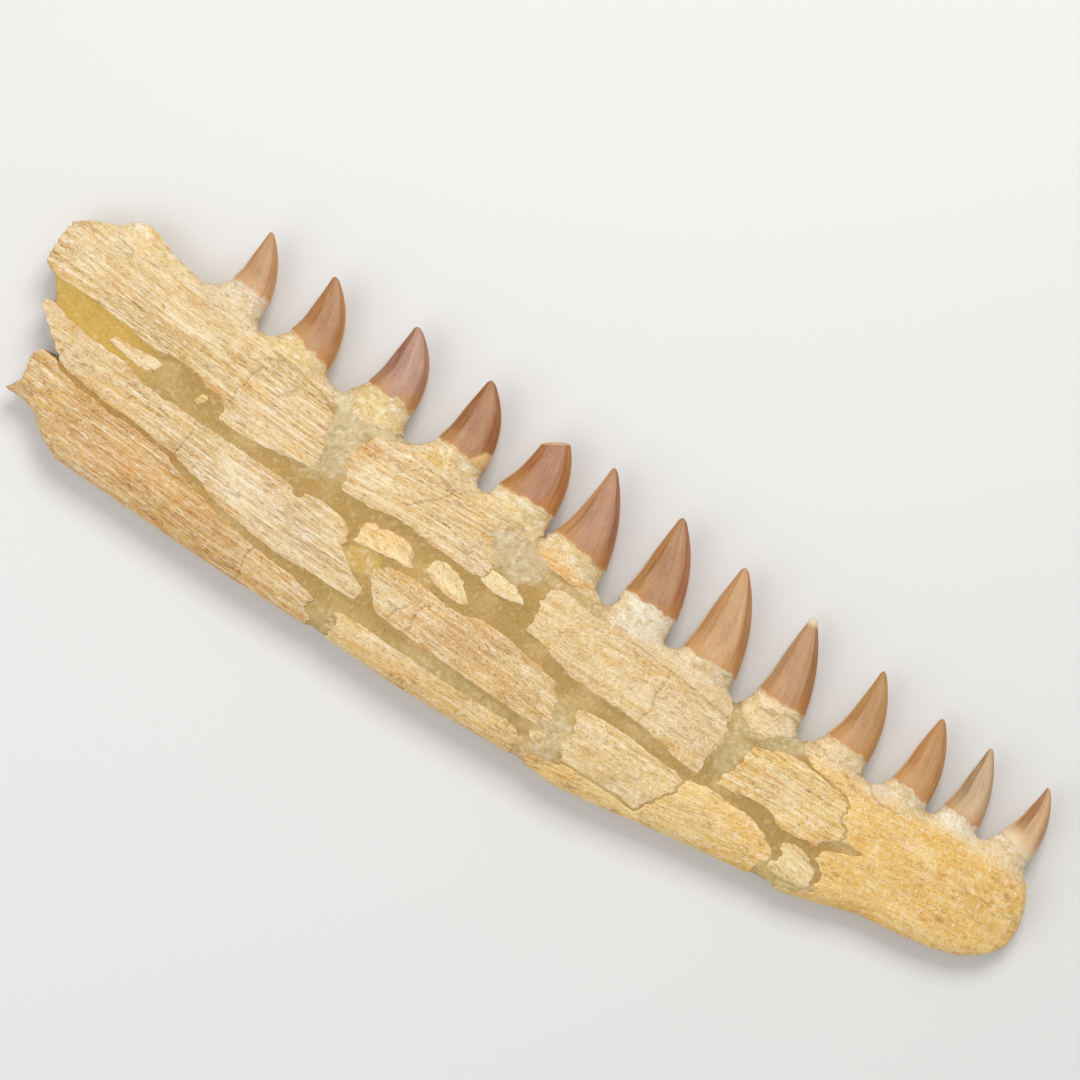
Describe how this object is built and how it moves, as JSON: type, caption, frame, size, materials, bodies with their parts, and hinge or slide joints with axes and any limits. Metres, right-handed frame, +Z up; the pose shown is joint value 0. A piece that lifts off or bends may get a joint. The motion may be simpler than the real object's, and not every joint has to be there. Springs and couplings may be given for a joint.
{
  "type": "fossil mosasaur lower jaw",
  "caption": "Long low fossil jaw bone lying on its side, one edge set with tall pointed teeth that curve back, pieced together with sandy filler.",
  "frame": {"origin": "middle of the jaw's box, on the level it lies on", "axes": "+X along the jaw from its broken rear end to its front tip, +Y from the lower edge towards the teeth, +Z up through its thickness"},
  "size_m": [0.5444, 0.1444, 0.0292],
  "materials": {
    "bone": "matte",
    "tip_bone": "matte",
    "enamel": "satin",
    "matrix": "matte"
  },
  "bodies": {
    "root": {"dentary_rear": "bone", "tooth_block_3": "bone", "dentary_second": "bone", "tooth_block_6": "bone", "dentary_third": "bone", "tooth_block_9": "bone", "dentary_fourth": "bone", "dentary_tip": "tip_bone", "splenial_rear": "bone", "splenial_mid": "bone", "splenial_front": "bone", "ventral_rear": "bone", "ventral_mid": "bone", "ventral_front": "bone", "chip_rear": "bone", "chip_small": "bone", "chip_third": "bone", "chip_fourth": "bone", "chip_lower": "bone", "chip_front": "bone", "splinter": "bone", "matrix": "matrix"}
  },
  "joints": []
}
